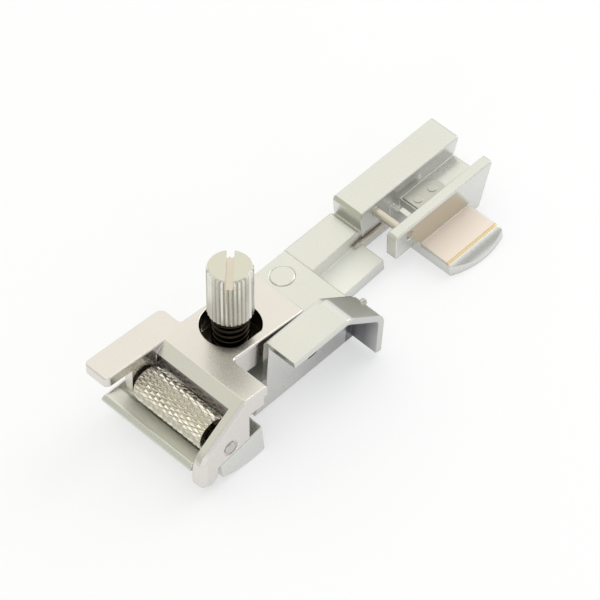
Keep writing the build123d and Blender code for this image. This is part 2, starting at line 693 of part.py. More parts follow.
# Feed roller, free on its shaft
with BuildPart() as feed_roller:
    with BuildSketch(side(ROLLER_LEFT)):
        with Locations(ROLLER_AXIS):
            Circle(ROLLER_R)
            Circle(SHAFT_R + FIT_RUNNING, mode=Mode.SUBTRACT)
    extrude(amount=ROLLER_RIGHT - ROLLER_LEFT)
    chamfer(feed_roller.edges().filter_by(GeomType.CIRCLE).group_by(SortBy.RADIUS)[-1], ROLLER_CHAMFER)
feed_roller.part.label = "feed_roller"
export_step(feed_roller.part, "parts/feed_roller.step")

# Roller shaft: pressed in the lug and the cheek
with BuildPart() as roller_shaft:
    with BuildSketch(side(LUG_LEFT)):
        with Locations(ROLLER_AXIS):
            Circle(SHAFT_R)
    extrude(amount=HEAD_RIGHT + SHAFT_PROUD - LUG_LEFT)
    chamfer(roller_shaft.edges().group_by(Axis.X)[-1], SHAFT_CHAMFER)
roller_shaft.part.label = "roller_shaft"
export_step(roller_shaft.part, "parts/roller_shaft.step")

# Spacer washer between the roller and the cheek
with BuildPart() as roller_washer:
    with BuildSketch(side(ROLLER_RIGHT + WASHER_GAP)):
        with Locations(ROLLER_AXIS):
            Circle(WASHER_R)
            Circle(SHAFT_R + FIT_RUNNING, mode=Mode.SUBTRACT)
    extrude(amount=CHEEK_INNER - ROLLER_RIGHT - 2 * WASHER_GAP)
roller_washer.part.label = "roller_washer"
export_step(roller_washer.part, "parts/roller_washer.step")

# Thumb screw: straight knurled head with a driver slot, shank in the boss
with BuildPart() as thumb_screw:
    with BuildSketch(LEVER.offset(KNOB_BASE)):
        with BuildLine():
            tooth_half = math.pi / KNOB_TEETH
            knurl = [
                (radius * math.sin(k * tooth_half), POCKET_Y + radius * math.cos(k * tooth_half))
                for k, radius in enumerate((KNOB_R, KNOB_ROOT_R) * KNOB_TEETH)
            ]
            Polyline(*knurl, close=True)
        make_face()
    extrude(amount=KNOB_TOP - KNOB_BASE)
    with BuildSketch(LEVER.offset(KNOB_BASE)):
        with Locations((0, POCKET_Y)):
            Circle(KNOB_R)
    turned = extrude(amount=KNOB_TOP - KNOB_BASE, mode=Mode.PRIVATE)
    turned_rims = turned.edges().filter_by(GeomType.CIRCLE)
    add(turned.chamfer(KNOB_CHAMFER, None, turned_rims), mode=Mode.INTERSECT)
    with BuildSketch(LEVER.offset(KNOB_TOP)):
        with Locations(Location((0, POCKET_Y), SLOT_ANGLE)):
            Rectangle(2 * KNOB_R, SLOT_W)
    extrude(amount=-SLOT_DEPTH, mode=Mode.SUBTRACT)
    with BuildSketch(LEVER.offset(KNOB_BASE)):
        with Locations((0, POCKET_Y)):
            Circle(SCREW_R)
    extrude(amount=SCREW_END - KNOB_BASE)
thumb_screw.part.label = "thumb_screw"
export_step(thumb_screw.part, "parts/thumb_screw.step")

# Pressure spring between the pocket floor and the screw head
with BuildPart() as pressure_spring:
    spring_height = KNOB_BASE + POCKET_DEPTH - 2 * SPRING_WIRE_R
    spring_pitch = spring_height / SPRING_TURNS
    spring_low = LEVER.from_local_coords(Vector(0, POCKET_Y, SPRING_WIRE_R - POCKET_DEPTH))
    with BuildLine() as coil:
        Helix(spring_pitch, spring_height, SPRING_R, center=spring_low, direction=LEVER.z_dir)
    with BuildSketch(Plane(origin=coil.line @ 0, z_dir=coil.line % 0)):
        RegularPolygon(SPRING_WIRE_R, SPRING_WIRE_SIDES)
    sweep(path=coil.line)
pressure_spring.part.label = "pressure_spring"
export_step(pressure_spring.part, "parts/pressure_spring.step")

# Edge guide: bent sheet with a side wall, a slotted opening and rivet holes
with BuildPart() as edge_guide:
    with BuildSketch(side(BASE_RIGHT + SHEET_T)):
        with BuildLine():
            FilletPolyline(
                (GUIDE_FRONT, GUIDE_MID_Z),
                (GUIDE_BEND_Y, GUIDE_MID_Z),
                (GUIDE_SLOPE_Y, GUIDE_SLOPE_Z),
                (GUIDE_DROP_Y, GUIDE_DROP_Z),
                radius=GUIDE_BEND_R,
            )
        trace(line_width=SHEET_T)
    extrude(amount=GUIDE_RIGHT - BASE_RIGHT - SHEET_T)
    with BuildSketch(side(BASE_RIGHT)):
        with BuildLine():
            Polyline(
                (GUIDE_KNEE_Y, GUIDE_KNEE_Z),
                (GUIDE_TOE_Y, GUIDE_WALL_Z),
                (GUIDE_DROP_Y, GUIDE_WALL_Z),
                (GUIDE_SLOPE_Y, GUIDE_SLOPE_Z),
                (GUIDE_BEND_Y, GUIDE_MID_Z),
                (GUIDE_BEND_Y - SHEET_T, GUIDE_TOP),
                (GUIDE_FRONT, GUIDE_TOP),
                close=True,
            )
        make_face()
    extrude(amount=SHEET_T)
    wall_rim = near(edge_guide.edges().filter_by(Axis.Y), Axis.X, BASE_RIGHT).sort_by(Axis.Z)[-1]
    fillet(wall_rim, GUIDE_EDGE_R)
    with BuildSketch(side(BASE_RIGHT)):
        with Locations((GUIDE_SLOT_Y, GUIDE_SLOT_Z)):
            SlotOverall(GUIDE_SLOT_L, GUIDE_SLOT_H)
        with Locations(*[(y, GUIDE_RIVET_Z) for y in GUIDE_RIVET_YS]):
            Circle(GUIDE_RIVET_R)
    extrude(amount=SHEET_T, mode=Mode.SUBTRACT)
    with BuildSketch(Plane.XZ.offset(-STUD_Y)):
        with Locations((STUD_X, STUD_Z)):
            Circle(STUD_R)
    extrude(amount=-STUD_L, mode=Mode.SUBTRACT)
edge_guide.part.label = "edge_guide"
export_step(edge_guide.part, "parts/edge_guide.step")

# Stud pressed through the guide's rear panel
with BuildPart() as guide_stud:
    with BuildSketch(Plane.XZ.offset(-STUD_Y)):
        with Locations((STUD_X, STUD_Z)):
            Circle(STUD_R)
    extrude(amount=-STUD_L)
    chamfer(guide_stud.edges().group_by(Axis.Y)[-1], STUD_R / 3)
guide_stud.part.label = "guide_stud"
export_step(guide_stud.part, "parts/guide_stud.step")

# Two flush rivets that hold the guide on the base
with BuildPart() as guide_rivets:
    with BuildSketch(side(BASE_RIGHT + SHEET_T)):
        with Locations(*[(y, GUIDE_RIVET_Z) for y in GUIDE_RIVET_YS]):
            Circle(GUIDE_RIVET_R)
    extrude(amount=-GUIDE_RIVET_L)
guide_rivets.part.label = "guide_rivets"
export_step(guide_rivets.part, "parts/guide_rivets.step")
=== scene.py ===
import math

import bpy
import numpy as np
from mathutils import Matrix, Vector


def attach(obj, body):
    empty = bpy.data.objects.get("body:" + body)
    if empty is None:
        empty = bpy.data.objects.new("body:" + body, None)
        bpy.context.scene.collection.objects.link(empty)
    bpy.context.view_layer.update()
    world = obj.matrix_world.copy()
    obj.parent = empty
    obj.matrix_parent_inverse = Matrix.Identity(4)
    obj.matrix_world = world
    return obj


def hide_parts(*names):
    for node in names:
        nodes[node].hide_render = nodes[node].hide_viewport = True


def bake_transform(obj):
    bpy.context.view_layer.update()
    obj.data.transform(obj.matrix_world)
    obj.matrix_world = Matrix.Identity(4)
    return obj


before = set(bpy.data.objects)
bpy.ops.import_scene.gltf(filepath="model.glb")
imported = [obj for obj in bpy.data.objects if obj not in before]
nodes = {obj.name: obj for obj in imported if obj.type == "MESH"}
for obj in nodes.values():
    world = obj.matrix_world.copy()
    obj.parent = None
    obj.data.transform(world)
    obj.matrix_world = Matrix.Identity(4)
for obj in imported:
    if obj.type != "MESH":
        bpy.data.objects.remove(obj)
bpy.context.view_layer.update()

# Lengths are in millimetres, except where a comment says metres. The sole is at height 0, the foot's right
# side is +X and its rear is +Y.
MM = 0.001
TAU = 2 * math.pi
SOLE = np.zeros(3)
SIDE = np.array([1.0, 0.0, 0.0])
REAR = np.array([0.0, 1.0, 0.0])
HEIGHT = np.array([0.0, 0.0, 1.0])

# Pressure lever: pitched up at the front, with its own heights measured from its top face, its spring
# pocket's radius, and the rear and left walls of its window
LEVER_PITCH = math.radians(6.5)
LEVER_TOP = np.array([0.0, 0.0, 13.15])
UP = np.array([0.0, math.sin(LEVER_PITCH), math.cos(LEVER_PITCH)])
BACK = np.array([0.0, math.cos(LEVER_PITCH), -math.sin(LEVER_PITCH)])
POCKET_R = 4.7
WINDOW_REAR, WINDOW_LEFT = -5.81, -4.3

# Thumb screw: where its axis meets the lever's top, its head's heights above there, and the radii of its
# knurling's roots and of its shank
SCREW_BACK = 5.0
SCREW_FOOT = LEVER_TOP + SCREW_BACK * BACK
KNOB_BASE, KNOB_TOP, SLOT_FLOOR = 2.85, 12.25, 10.6
KNOB_ROOT_R, SCREW_R = 3.15, 1.5

# Edge guide: the foot of its drop and the way that the drop's outer face looks
DROP_FOOT = np.array([0.0, 21.86, 1.0])
DROP_OUT = np.array([0.0, 0.981, -0.193])

# Rear foot: heights of the tang's floor and the wing's top, where the wing's rim starts, the right rail's
# outer side, and the sloping direction along which the painted reflection on that side is measured
TANG_TOP, WING_TOP = 2.1, 2.3
WING_RIM = 9.1
RAIL_OUTER = 3.45
RAIL_SLOPE = np.array([0.0, 0.890, 0.456])

# Feed roller: axis, ends and radii, then the knurling's grooves round it, their pitch along it, their depth,
# and the share of the rise between two grooves at which the points are cut flat
ROLLER_Y, ROLLER_Z = -7.8084, 6.4508
ROLLER_AXIS = np.array([0.0, ROLLER_Y, ROLLER_Z])
ROLLER_LEFT, ROLLER_RIGHT = -5.35, 8.9
ROLLER_R, ROLLER_BORE_R, ROLLER_CHAMFER = 2.9, 1.05, 0.3
KNURL_ROUND, KNURL_PITCH, KNURL_DEPTH, KNURL_FLAT = 23, 2.14, 0.28, 0.85
KNURL_STEPS_ROUND, KNURL_STEPS_ALONG = 276, 200

# Pressure spring: heights of its ends, radius to the middle of the wire, the wire's radius, all its turns,
# and the dead turns at each end. The last of the steps is how far the climb is evened out each way
SPRING_LOW, SPRING_HIGH = -3.5, KNOB_BASE
SPRING_R, WIRE_R, SPRING_TURNS, SPRING_DEAD = 2.55, 0.36, 5.4, 0.75
SPRING_STEPS, WIRE_STEPS, SPRING_EASE = 420, 14, 15

# Rulers that place the patches: along a direction from a point, or around it, away from the line through
# the point. A limit at FAR lies beyond every piece, so the patch is open on that side
ACROSS = ("along", SOLE, SIDE)
LENGTHWISE = ("along", SOLE, REAR)
ABOVE_SOLE = ("along", SOLE, HEIGHT)
LEVER_LENGTHWISE = ("along", LEVER_TOP, BACK)
SCREW_HEIGHT = ("along", SCREW_FOOT, UP)
SCREW_RADIUS = ("around", SCREW_FOOT, UP)
ROLLER_RADIUS = ("around", ROLLER_AXIS, SIDE)
DROP_DEPTH = ("along", DROP_FOOT, DROP_OUT)
RAIL_SLANT = ("along", SOLE, RAIL_SLOPE)
FAR = 99.0

# Shared by all the metals: how far the grain swings the roughness, the share of roughness left on a worn
# edge, the cosines between the true and the rounded normal where the wear and its painted highlight start and
# are full, and the height of the grain
ROUGH_SWING = 0.03
WORN_ROUGH = 0.6
WEAR_HIGHLIGHT_STARTS, WEAR_HIGHLIGHT_FULL = 0.995, 0.86
GRAIN_HEIGHT = 0.02
BEVEL_SAMPLES = 6


# Meshes

def mesh_piece(name, points, faces, material, body, smooth=True):
    """Put points in millimetres and their faces into one piece, which rides on a body if one is given."""
    mesh = bpy.data.meshes.new(name)
    mesh.from_pydata((np.asarray(points) * MM).tolist(), [], faces)
    mesh.polygons.foreach_set("use_smooth", np.full(len(mesh.polygons), smooth))
    mesh.update()
    piece = bpy.data.objects.new(name, mesh)
    bpy.context.scene.collection.objects.link(piece)
    mesh.materials.append(material)
    if body:
        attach(piece, body)
    return piece


def quads(rows, columns, wrap_rows):
    """Quads of a grid of points that closes round its columns, and round its rows too if asked."""
    last = rows if wrap_rows else rows - 1
    row, column = np.meshgrid(np.arange(last), np.arange(columns), indexing="ij")
    below, beside = (row + 1) % rows, (column + 1) % columns
    corners = [(row, column), (row, beside), (below, beside), (below, column)]
    return np.stack([r * columns + c for r, c in corners], axis=-1).reshape(-1, 4)


def triangle_wave(phase):
    """0 on each whole number, 1 half way between: the section of a row of V grooves."""
    return np.abs(2 * (phase - np.floor(phase + 0.5)))


def roller_points():
    """A tube's closed section carried round the roller's axis. On the barrel the radius drops into two
    crossing families of V grooves at turn * count + x / pitch and turn * count - x / pitch; the lower of the
    two triangle waves leaves long diamond points between the grooves, cut flat at the barrel's radius."""
    turn = np.linspace(0, 1, KNURL_STEPS_ROUND, endpoint=False)
    along = np.linspace(ROLLER_LEFT + ROLLER_CHAMFER, ROLLER_RIGHT - ROLLER_CHAMFER, KNURL_STEPS_ALONG)
    low = ROLLER_R - KNURL_DEPTH
    ends = [ROLLER_BORE_R, (low + ROLLER_BORE_R) / 2, low]
    count = len(ends)
    x = np.concatenate([[ROLLER_LEFT] * count, along, [ROLLER_RIGHT] * count])
    barrel = np.concatenate([np.zeros(count), np.ones(along.size), np.zeros(count)])
    radius = np.concatenate([ends, np.full(along.size, ROLLER_R), ends[::-1]])
    first = triangle_wave(turn[None, :] * KNURL_ROUND + x[:, None] / KNURL_PITCH)
    second = triangle_wave(turn[None, :] * KNURL_ROUND - x[:, None] / KNURL_PITCH)
    diamond = np.clip(np.minimum(first, second) / KNURL_FLAT, 0, 1)
    r = radius[:, None] - barrel[:, None] * KNURL_DEPTH * (1 - diamond)
    angle = TAU * turn[None, :]
    across = np.broadcast_to(x[:, None], r.shape)
    return np.stack([across, ROLLER_Y + r * np.cos(angle), ROLLER_Z + r * np.sin(angle)], -1)


def spring_points():
    """A wire's round section carried along a helix on the screw's axis. The height climbs one wire's width per
    turn over the dead coils at both ends and evenly between them, and a running mean eases the change."""
    t = np.linspace(0, SPRING_TURNS, SPRING_STEPS)
    span = SPRING_HIGH - SPRING_LOW - 2 * WIRE_R
    dead_rise = 2 * WIRE_R * SPRING_DEAD
    turns = [0, SPRING_DEAD, SPRING_TURNS - SPRING_DEAD, SPRING_TURNS]
    height = np.interp(t, turns, [0, dead_rise, span - dead_rise, span])
    window = 2 * SPRING_EASE + 1
    height = np.convolve(np.pad(height, SPRING_EASE, mode="edge"), np.ones(window) / window, mode="valid")
    angle = TAU * t
    outward = np.cos(angle)[:, None] * SIDE + np.sin(angle)[:, None] * BACK
    centre = SCREW_FOOT + SPRING_R * outward + (SPRING_LOW + WIRE_R + height)[:, None] * UP
    along = np.gradient(centre, axis=0)
    along /= np.linalg.norm(along, axis=1, keepdims=True)
    across = np.cross(along, outward)
    phi = np.linspace(0, TAU, WIRE_STEPS, endpoint=False)[None, :, None]
    section = np.cos(phi) * outward[:, None, :] + np.sin(phi) * across[:, None, :]
    return centre[:, None, :] + WIRE_R * section


# Materials

def linear(code):
    """Linear colour of an sRGB hex code."""
    value = np.array([int(code[i:i + 2], 16) / 255 for i in (1, 3, 5)])
    value = np.where(value <= 0.04045, value / 12.92, ((value + 0.055) / 1.055) ** 2.4)
    return (*value.tolist(), 1.0)


def node(tree, kind, inputs=None, **settings):
    """Add one node: settings are its own options, inputs give sockets a value or another node's output."""
    made = tree.nodes.new(kind)
    for option, value in settings.items():
        setattr(made, option, value)
    for socket, value in (inputs or {}).items():
        if isinstance(value, bpy.types.NodeSocket):
            tree.links.new(value, made.inputs[socket])
        else:
            made.inputs[socket].default_value = value
    return made


def cover(tree, place, limits):
    """Product of limits, 1 inside all of them and 0 well outside any. Each limit is a ruler, a low and a high
    length on it, and the soft width over which it fades beyond both."""
    whole = None
    for (kind, point, axis), low, high, soft in limits:
        offset = node(tree, "ShaderNodeVectorMath", {0: place, 1: (point * MM).tolist()},
                      operation="SUBTRACT")
        way = {0: offset.outputs["Vector"], 1: axis.tolist()}
        if kind == "along":
            length = node(tree, "ShaderNodeVectorMath", way, operation="DOT_PRODUCT").outputs["Value"]
        else:
            away = node(tree, "ShaderNodeVectorMath", way, operation="CROSS_PRODUCT").outputs["Vector"]
            length = node(tree, "ShaderNodeVectorMath", {0: away}, operation="LENGTH").outputs["Value"]
        for start, end in ((low - soft, low), (high + soft, high)):
            fade = {"Value": length, "From Min": start * MM, "From Max": end * MM, "To Max": 1.0}
            part = node(tree, "ShaderNodeMapRange", fade).outputs["Result"]
            if whole:
                product = node(tree, "ShaderNodeMath", {0: whole, 1: part}, operation="MULTIPLY")
                part = product.outputs["Value"]
            whole = part
    return whole


def metal(name, light, dark, worn_highlight, roughness, cloud_mm, grain_mm, grain, edge_mm, patches=()):
    """Plated or ground metal: the colour drifts between two shades in soft clouds and turns to a paler worn
    shade on rubbed edges, partly wear and partly a painted highlight, where it is also smoother; a fine grain
    drives the roughness and lifts the surface a little. A patch is a shade, its roughness and the limits that
    it fills; most patches paint light or shade."""
    made = bpy.data.materials.new(name)
    made.use_nodes = True
    tree = made.node_tree
    shader = tree.nodes["Principled BSDF"]
    place = node(tree, "ShaderNodeTexCoord").outputs["Object"]
    cloud = node(tree, "ShaderNodeTexNoise",
                 {"Vector": place, "Scale": 1 / (cloud_mm * MM), "Detail": 2.0}).outputs["Fac"]
    fine = node(tree, "ShaderNodeTexNoise",
                {"Vector": place, "Scale": 1 / (grain_mm * MM), "Detail": 3.0}).outputs["Fac"]
    shade = node(tree, "ShaderNodeMix", {"Factor": cloud, "A": linear(dark), "B": linear(light)},
                 data_type="RGBA").outputs[2]
    rounded = node(tree, "ShaderNodeBevel", {"Radius": edge_mm * MM}, samples=BEVEL_SAMPLES).outputs["Normal"]
    true = node(tree, "ShaderNodeNewGeometry").outputs["Normal"]
    turn = node(tree, "ShaderNodeVectorMath", {0: rounded, 1: true}, operation="DOT_PRODUCT").outputs["Value"]
    wear_and_highlight = {"Value": turn, "From Min": WEAR_HIGHLIGHT_STARTS, "From Max": WEAR_HIGHLIGHT_FULL, "To Max": 1.0}
    edge = node(tree, "ShaderNodeMapRange", wear_and_highlight).outputs["Result"]
    colour = node(tree, "ShaderNodeMix", {"Factor": edge, "A": shade, "B": linear(worn_highlight)},
                  data_type="RGBA").outputs[2]
    swing = {"Value": fine, "To Min": roughness - ROUGH_SWING, "To Max": roughness + ROUGH_SWING}
    grainy = node(tree, "ShaderNodeMapRange", swing).outputs["Result"]
    rough = node(tree, "ShaderNodeMix", {"Factor": edge, "A": grainy, "B": roughness * WORN_ROUGH}).outputs[0]
    for patch_shade, patch_rough, limits in patches:
        filled = cover(tree, place, limits)
        colour = node(tree, "ShaderNodeMix", {"Factor": filled, "A": colour, "B": linear(patch_shade)},
                      data_type="RGBA").outputs[2]
        rough = node(tree, "ShaderNodeMix", {"Factor": filled, "A": rough, "B": patch_rough}).outputs[0]
    relief = {"Height": fine, "Strength": grain, "Distance": GRAIN_HEIGHT * MM, "Normal": rounded}
    lift = node(tree, "ShaderNodeBump", relief).outputs["Normal"]
    tree.links.new(colour, shader.inputs["Base Color"])
    tree.links.new(rough, shader.inputs["Roughness"])
    tree.links.new(lift, shader.inputs["Normal"])
    shader.inputs["Metallic"].default_value = 1.0
    return made


# Satin nickel plate on steel: blasted, then plated, so it is pale and soft in its reflections. The pits of
# the blasting are under 0.1 mm across, drawn at 0.16 mm so that they show
NICKEL = dict(light="#E1E1DD", dark="#DCDCD8", worn_highlight="#E9E5DE")
SATIN = dict(roughness=0.28, cloud_mm=9.0, grain_mm=0.16, grain=0.04)

# Painted light: the front base is paler and matt in the roller's channel and on the plate under the lever
channel_painted_light = ("#EAEAE2", 0.6, [
    (ACROSS, -8.9, 9.5, 0.02),
    (LENGTHWISE, -12.7, -5.0, 0.02),
    (ABOVE_SOLE, 1.0, 4.7, 0.08),
])
deck_painted_light = ("#E6E6E0", 0.7, [
    (ACROSS, -3.0, 6.1, 0.05),
    (LENGTHWISE, -2.5, 13.0, 0.3),
    (ABOVE_SOLE, 2.0, 4.8, 0.05),
])
satin_nickel = metal("satin_nickel_plate", **NICKEL, **SATIN, edge_mm=0.3, patches=[channel_painted_light, deck_painted_light])

# Painted shade: the edge guide is greyer towards its folds, darker on its slope and dark inside its drop
guide_folds_painted_shade = ("#CDCDCB", 0.28, [
    (LENGTHWISE, 17.0, FAR, 8.0),
    (ABOVE_SOLE, -FAR, 12.3, 0.3),
])
guide_slope_painted_shade = ("#BEBDB8", 0.3, [
    (ACROSS, -FAR, 12.5, 0.05),
    (LENGTHWISE, 17.8, 26.0, 0.4),
    (ABOVE_SOLE, 7.6, 13.3, 0.4),
])
guide_drop_painted_shade = ("#8E8E92", 0.35, [
    (ACROSS, -FAR, 10.0, 2.5),
    (DROP_DEPTH, -1.6, -0.2, 0.1),
    (ABOVE_SOLE, -FAR, 7.6, 0.4),
])
guide_nickel = metal("satin_nickel_plate_guide", **NICKEL, **SATIN, edge_mm=0.2,
                     patches=[guide_folds_painted_shade, guide_slope_painted_shade, guide_drop_painted_shade])

# The insert's nickel is duller and greyer than the rest
insert_nickel = metal("dull_nickel_plate", light="#CACAC4", dark="#C2C2BC", worn_highlight="#DAD8D2", roughness=0.32,
                      cloud_mm=5.0, grain_mm=0.16, grain=0.04, edge_mm=0.12)

# The rear foot has a warm pale matt tint on the wing's top and a yellow one on its rim, painted light on the
# tang's floor, a painted reflection of the wing on the right rail's side, and painted shade on the left rail's
# front bevel
wing_top = ("#F4E8E0", 0.6, [
    (ACROSS, 3.6, WING_RIM, 0.1),
    (ABOVE_SOLE, WING_TOP - 0.02, WING_TOP + 0.1, 0.02),
])
wing_rim = ("#D9C29A", 0.24, [
    (ACROSS, WING_RIM, WING_RIM + 0.4, 0.1),
    (ABOVE_SOLE, WING_TOP - 0.3, WING_TOP + 0.1, 0.1),
])
tang_floor_painted_light = ("#EFEFEA", 0.6, [
    (LENGTHWISE, 20.0, 36.0, 0.5),
    (ABOVE_SOLE, TANG_TOP - 0.05, TANG_TOP + 0.05, 0.05),
])
rail_side_painted_reflection = ("#C2BFB1", 0.3, [
    (ACROSS, RAIL_OUTER - 0.05, RAIL_OUTER + 0.05, 0.02),
    (RAIL_SLANT, 36.8, 46.1, 0.5),
    (ABOVE_SOLE, WING_TOP + 0.05, 7.1, 0.1),
])
rail_bevel_painted_shade = ("#C4C4B4", 0.28, [
    (LENGTHWISE, 34.8, 35.3, 0.05),
    (ABOVE_SOLE, 6.95, 7.62, 0.05),
])
foot_nickel = metal("satin_nickel_plate_foot", **NICKEL, **SATIN, edge_mm=0.3,
                    patches=[wing_top, wing_rim, tang_floor_painted_light, rail_side_painted_reflection, rail_bevel_painted_shade])

# The lever's plate is a touch pinker than the rest, with painted shade in its spring pocket and on its
# window's rear wall, and its window's walls polished
pocket_painted_shade = ("#3A342B", 0.3, [
    (SCREW_RADIUS, -FAR, POCKET_R + 0.02, 0.02),
    (SCREW_HEIGHT, -FAR, -0.12, 0.08),
])
window_wall_painted_shade = ("#8D878A", 0.14, [
    (LEVER_LENGTHWISE, WINDOW_REAR - 0.02, WINDOW_REAR + 0.02, 0.005),
    (ACROSS, WINDOW_LEFT + 0.02, 10.88, 0.005),
])
window_side = ("#DDD9D2", 0.2, [
    (ACROSS, WINDOW_LEFT - 0.02, WINDOW_LEFT + 0.02, 0.005),
])
lever_nickel = metal("satin_nickel_plate_lever", light="#E5E0DC", dark="#DFDAD6", worn_highlight="#ECE3DB", **SATIN,
                     edge_mm=0.2, patches=[pocket_painted_shade, window_wall_painted_shade, window_side])

# Bright nickel over straight knurling: shiny crests, and painted shade in the grooves, slot and on the shank
knob_grooves_painted_shade = ("#C4C1B5", 0.25, [
    (SCREW_RADIUS, KNOB_ROOT_R - 0.05, KNOB_ROOT_R + 0.05, 0.1),
    (SCREW_HEIGHT, 2.0, 11.9, 0.1),
])
knob_top = ("#D5D3C7", 0.25, [
    (SCREW_HEIGHT, KNOB_TOP - 0.05, KNOB_TOP + 0.15, 0.03),
])
slot_floor_painted_shade = ("#D9D0C4", 0.25, [
    (SCREW_RADIUS, -FAR, 3.6, 0.02),
    (SCREW_HEIGHT, SLOT_FLOOR - 0.05, SLOT_FLOOR + 0.05, 0.02),
])
shank_painted_shade = ("#2E2820", 0.3, [
    (SCREW_RADIUS, -FAR, SCREW_R + 0.3, 0.02),
    (SCREW_HEIGHT, -FAR, KNOB_BASE - 0.05, 0.02),
])
BRIGHT = dict(roughness=0.2, cloud_mm=4.0, grain_mm=0.10, grain=0.03)
knob_nickel = metal("bright_nickel_straight_knurling", light="#EFEEE6", dark="#E8E7DF", worn_highlight="#F4F2EA",
                    **BRIGHT, edge_mm=0.05, patches=[knob_grooves_painted_shade, knob_top, slot_floor_painted_shade, shank_painted_shade])

# Bright nickel over diamond knurling: the tool leaves shiny flanks, and the grooves get painted shade
roller_grooves_painted_shade = ("#B9B3A1", 0.25, [
    (ROLLER_RADIUS, -FAR, 2.6, 0.1),
])
roller_nickel = metal("bright_nickel_diamond_knurling", light="#EAE5DA", dark="#E2DDD1", worn_highlight="#F0ECE2",
                      **BRIGHT, edge_mm=0.03, patches=[roller_grooves_painted_shade])

# Ground steel, bare: a little darker and warmer than the plate, with a fine even sheen
GROUND = dict(roughness=0.26, cloud_mm=3.0, grain_mm=0.09, grain=0.04, edge_mm=0.08)
ground_steel = metal("ground_steel", light="#DDD5CA", dark="#D2CABF", worn_highlight="#E6DED3", **GROUND)

# The same steel in the lever's pin and the roller's shaft, which are greyer
pin_steel = metal("ground_steel_pin", light="#CFCDC9", dark="#C5C3BF", worn_highlight="#DAD8D4", **GROUND)

# Blackened steel of the spring and the roller's washer: oxide black, with a faint sheen of oil
black_steel = metal("blackened_steel", light="#3A342B", dark="#28231C", worn_highlight="#5A5145", roughness=0.26,
                    cloud_mm=1.5, grain_mm=0.07, grain=0.03, edge_mm=0.03)

FINISH = {
    satin_nickel: ["front_base", "lap_rivet"],
    guide_nickel: ["edge_guide", "guide_stud", "guide_rivets"],
    insert_nickel: ["insert_plate", "insert_rivets"],
    foot_nickel: ["rear_foot"],
    lever_nickel: ["pressure_lever"],
    knob_nickel: ["thumb_screw"],
    ground_steel: ["ankle_pin", "stitch_finger"],
    pin_steel: ["lever_pin", "roller_shaft"],
    black_steel: ["roller_washer"],
}
for material, names in FINISH.items():
    for name in names:
        nodes[name].data.materials.clear()
        nodes[name].data.materials.append(material)

# Pieces
roller_grid = roller_points()
roller_faces = quads(roller_grid.shape[0], roller_grid.shape[1], True)[:, ::-1].tolist()
roller = mesh_piece("knurled_feed_roller", roller_grid.reshape(-1, 3), roller_faces, roller_nickel, "roller",
                    False)
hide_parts("feed_roller")

# The spring stands in the lever's pocket. It is made as two pieces, its lower and its upper half
spring_grid = spring_points()
half = SPRING_STEPS // 2
middle = (SPRING_LOW + SPRING_HIGH) / 2
spring_heights = [((SCREW_FOOT + height * UP) * MM).tolist() for height in (SPRING_LOW, middle, SPRING_HIGH)]
ring = np.arange(WIRE_STEPS)
for name, rings, bodies, ends in (
    ("pressure_spring_lower", spring_grid[:half + 1], ("lever", "foot"), spring_heights[:2]),
    ("pressure_spring_upper", spring_grid[half:], ("foot", "spring"), spring_heights[1:]),
):
    coil_faces = quads(len(rings), WIRE_STEPS, False).tolist()
    coil_faces += [ring.tolist(), (ring[::-1] + (len(rings) - 1) * WIRE_STEPS).tolist()]
    coil = mesh_piece(name, rings.reshape(-1, 3), coil_faces, black_steel, None)
    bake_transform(coil)
    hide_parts("pressure_spring")

# Floor: white paper that keeps the shadows, with a share of plain white where the camera or a reflection
# sees it
FLOOR_REACH = 3.0   # metres
CAMERA_WHITE, MIRROR_WHITE = 0.5, 0.28
floor_mesh = bpy.data.meshes.new("floor")
floor_corners = [(x * FLOOR_REACH, y * FLOOR_REACH, 0) for x, y in ((-1, -1), (1, -1), (1, 1), (-1, 1))]
floor_mesh.from_pydata(floor_corners, [], [(0, 1, 2, 3)])
floor = bpy.data.objects.new("floor", floor_mesh)
bpy.context.scene.collection.objects.link(floor)
floor_white = bpy.data.materials.new("white_paper_floor")
floor_white.use_nodes = True
tree = floor_white.node_tree
tree.nodes.clear()
path = node(tree, "ShaderNodeLightPath")
reflected = {0: path.outputs["Is Glossy Ray"], 1: MIRROR_WHITE}
mirrored = node(tree, "ShaderNodeMath", reflected, operation="MULTIPLY")
seen = {0: path.outputs["Is Camera Ray"], 1: CAMERA_WHITE, 2: mirrored.outputs["Value"]}
share = node(tree, "ShaderNodeMath", seen, operation="MULTIPLY_ADD")
paper = node(tree, "ShaderNodeBsdfDiffuse", {"Color": linear("#FBFCFF")})
glow = node(tree, "ShaderNodeEmission", {"Color": linear("#FFFFFF"), "Strength": 1.0})
layers = {0: share.outputs["Value"], 1: paper.outputs["BSDF"], 2: glow.outputs["Emission"]}
mixed = node(tree, "ShaderNodeMixShader", layers)
node(tree, "ShaderNodeOutputMaterial", {"Surface": mixed.outputs["Shader"]})
floor_mesh.materials.append(floor_white)

